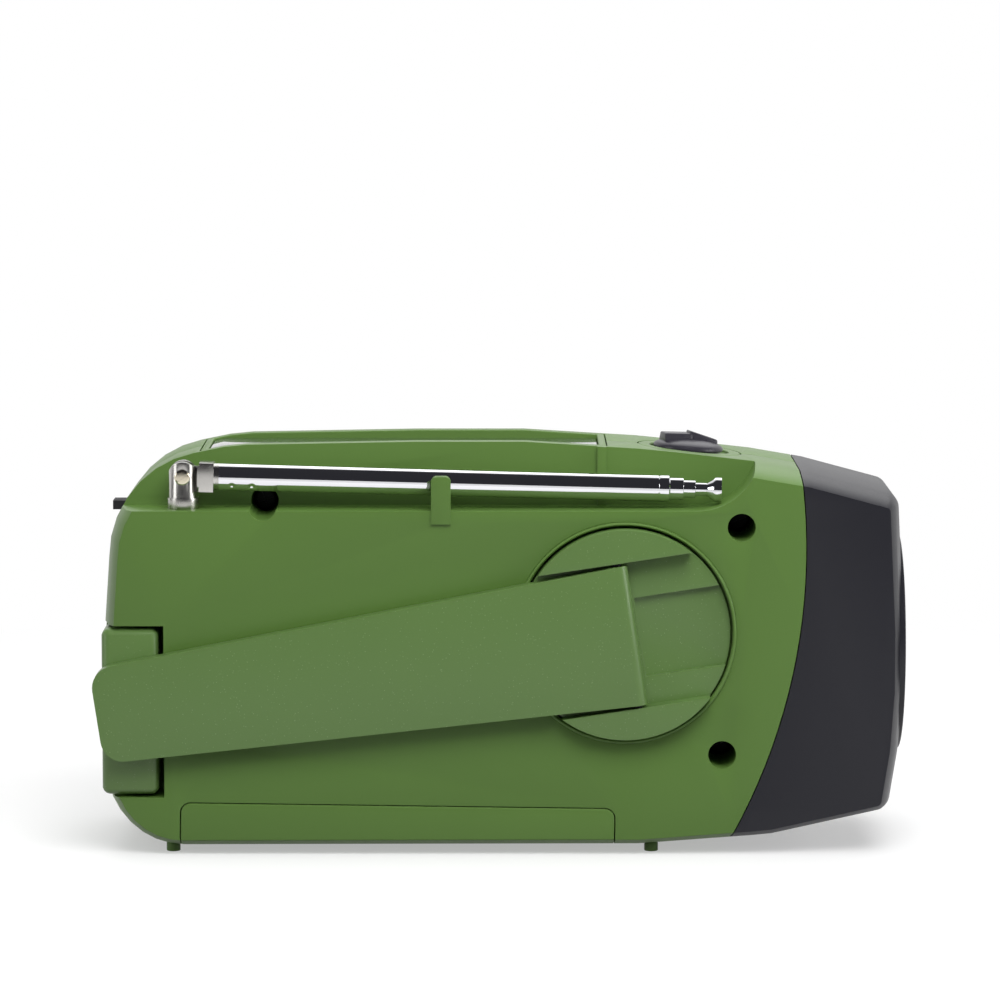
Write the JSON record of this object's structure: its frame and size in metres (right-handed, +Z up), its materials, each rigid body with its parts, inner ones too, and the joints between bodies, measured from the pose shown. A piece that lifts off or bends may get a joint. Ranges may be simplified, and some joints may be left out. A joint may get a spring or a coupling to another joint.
{
  "type": "emergency radio",
  "caption": "Hand-crank emergency radio with folding crank arm, telescopic antenna, solar panel, torch head, selector knob, speaker, display and battery door.",
  "frame": {"origin": "centre of the bounding box in X and Y, on the plane the feet stand on", "axes": "+X towards the torch head along the body, -Y out of the crank side, +Z up"},
  "size_m": [0.1643, 0.0588, 0.0839],
  "materials": {
    "green": "satin moulded",
    "arm_green": "fine speckled grain",
    "black": "satin moulded",
    "rubber": "matt",
    "nickel": "bright plated",
    "steel": "turned",
    "brass": "turned",
    "clear": "clear moulded",
    "solar": "glossy resin",
    "board": "solder resist",
    "lamp": "clear resin",
    "white_plastic": "plain",
    "dark_plastic": "plain",
    "mirror": "vacuum plated",
    "copper": "enamelled winding",
    "cell_wrap": "shrink sleeve",
    "lcd": "display glass",
    "cone": "pressed paper"
  },
  "bodies": {
    "case": {"back_cover": "green", "front_cover": "green", "torch_head": "black", "lens_bezel": "black", "torch_lens": "clear", "torch_reflector": "mirror", "torch_board": "board", "torch_led": "lamp", "solar_frame": "green", "solar_panel": "solar", "knob_plate": "green", "mode_switch": "dark_plastic", "crank_disc": "arm_green", "crank_shaft": "steel", "crank_bush": "brass", "arm_pin": "steel", "idler_axle": "steel", "dynamo_stator": "copper", "gearbox_plate": "dark_plastic", "battery_cell": "cell_wrap", "battery_contacts": "nickel", "antenna_post": "nickel", "antenna_pivot": "brass", "main_board": "board", "speaker_frame": "dark_plastic", "speaker_cone": "cone", "speaker_magnet": "steel", "speaker_grille": "black", "display_window": "clear", "display_panel": "lcd", "tuning_unit": "white_plastic", "volume_unit": "dark_plastic", "button_switches": "white_plastic", "charge_socket": "nickel", "phone_socket": "dark_plastic", "case_screws": "steel", "feet": "green"},
    "crank": {"crank_arm": "arm_green", "crank_grip": "arm_green", "grip_pin": "steel"},
    "drive_gear": {"drive_gear": "white_plastic"},
    "idler_gear": {"idler_gear": "white_plastic"},
    "dynamo_rotor": {"dynamo_rotor": "steel"},
    "mast_1": {"mast_tube_1": "nickel"},
    "mast_2": {"mast_tube_2": "nickel"},
    "mast_3": {"mast_tube_3": "nickel"},
    "mast_4": {"mast_tube_4": "nickel"},
    "mode_knob": {"mode_knob": "black"},
    "tuning_knob": {"tuning_knob": "black"},
    "volume_knob": {"volume_knob": "black"},
    "button_power": {"button_power": "black"},
    "button_band": {"button_band": "black"},
    "button_lamp": {"button_lamp": "black"},
    "button_alarm": {"button_alarm": "black"},
    "battery_door": {"battery_door": "green"},
    "port_cover": {"port_cover": "rubber"}
  },
  "joints": [
    {"name": "arm_fold", "type": "hinge", "parent": "case", "child": "crank", "pos_m": [0.02432, -0.0273, 0.04478], "axis": [-0.1504, 0, 0.9886], "range_deg": [0, 180]},
    {"name": "rotor_spin", "type": "hinge", "parent": "case", "child": "dynamo_rotor", "pos_m": [-0.0116, 0, 0.045], "axis": [0, -1, 0], "continuous": true},
    {"name": "idler_spin", "type": "hinge", "parent": "case", "child": "idler_gear", "pos_m": [0.0029, 0, 0.045], "axis": [0, -1, 0], "continuous": true},
    {"name": "drive_spin", "type": "hinge", "parent": "case", "child": "drive_gear", "pos_m": [0.024, 0, 0.045], "axis": [0, -1, 0], "continuous": true},
    {"name": "antenna_tilt", "type": "hinge", "parent": "case", "child": "mast_1", "pos_m": [-0.0645, -0.019, 0.076], "axis": [0, -1, 0], "range_deg": [0, 110]},
    {"name": "mast_2_slide", "type": "slide", "parent": "mast_1", "child": "mast_2", "axis": [0.9997, 0, -0.0262], "range_m": [0, 0.046]},
    {"name": "mast_3_slide", "type": "slide", "parent": "mast_2", "child": "mast_3", "axis": [0.9997, 0, -0.0262], "range_m": [0, 0.046]},
    {"name": "mast_4_slide", "type": "slide", "parent": "mast_3", "child": "mast_4", "axis": [0.9997, 0, -0.0262], "range_m": [0, 0.046]},
    {"name": "mode_turn", "type": "hinge", "parent": "case", "child": "mode_knob", "pos_m": [0.0376, 0, 0.07975], "axis": [0.0819, 0, 0.9966], "range_deg": [-60, 60]},
    {"name": "tuning_turn", "type": "hinge", "parent": "case", "child": "tuning_knob", "pos_m": [0.027, 0.025, 0.027], "axis": [0, 1, 0], "range_deg": [-140, 140]},
    {"name": "volume_turn", "type": "hinge", "parent": "case", "child": "volume_knob", "pos_m": [0.004, 0.025, 0.026], "axis": [0, 1, 0], "range_deg": [-140, 140]},
    {"name": "battery_door_slide", "type": "slide", "parent": "case", "child": "battery_door", "axis": [0, -1, 0], "range_m": [0, 0.03]},
    {"name": "port_cover_open", "type": "hinge", "parent": "case", "child": "port_cover", "pos_m": [-0.07995, 0.001, 0.04875], "axis": [0, -1, 0], "range_deg": [0, 100]},
    {"name": "press_power", "type": "slide", "parent": "case", "child": "button_power", "axis": [0, -1, 0], "range_m": [0, 0.0008], "stiffness_N_per_m": 400},
    {"name": "press_band", "type": "slide", "parent": "case", "child": "button_band", "axis": [0, -1, 0], "range_m": [0, 0.0008], "stiffness_N_per_m": 400},
    {"name": "press_lamp", "type": "slide", "parent": "case", "child": "button_lamp", "axis": [0, -1, 0], "range_m": [0, 0.0008], "stiffness_N_per_m": 400},
    {"name": "press_alarm", "type": "slide", "parent": "case", "child": "button_alarm", "axis": [0, -1, 0], "range_m": [0, 0.0008], "stiffness_N_per_m": 400}
  ],
  "couplings": [
    {"joint": "idler_spin", "follows": "rotor_spin", "ratio": -0.33333},
    {"joint": "drive_spin", "follows": "rotor_spin", "ratio": 0.083333},
    {"joint": "mast_2_slide", "follows": "antenna_tilt", "m_per_rad": 0.023439},
    {"joint": "mast_3_slide", "follows": "antenna_tilt", "m_per_rad": 0.023439},
    {"joint": "mast_4_slide", "follows": "antenna_tilt", "m_per_rad": 0.023439}
  ]
}
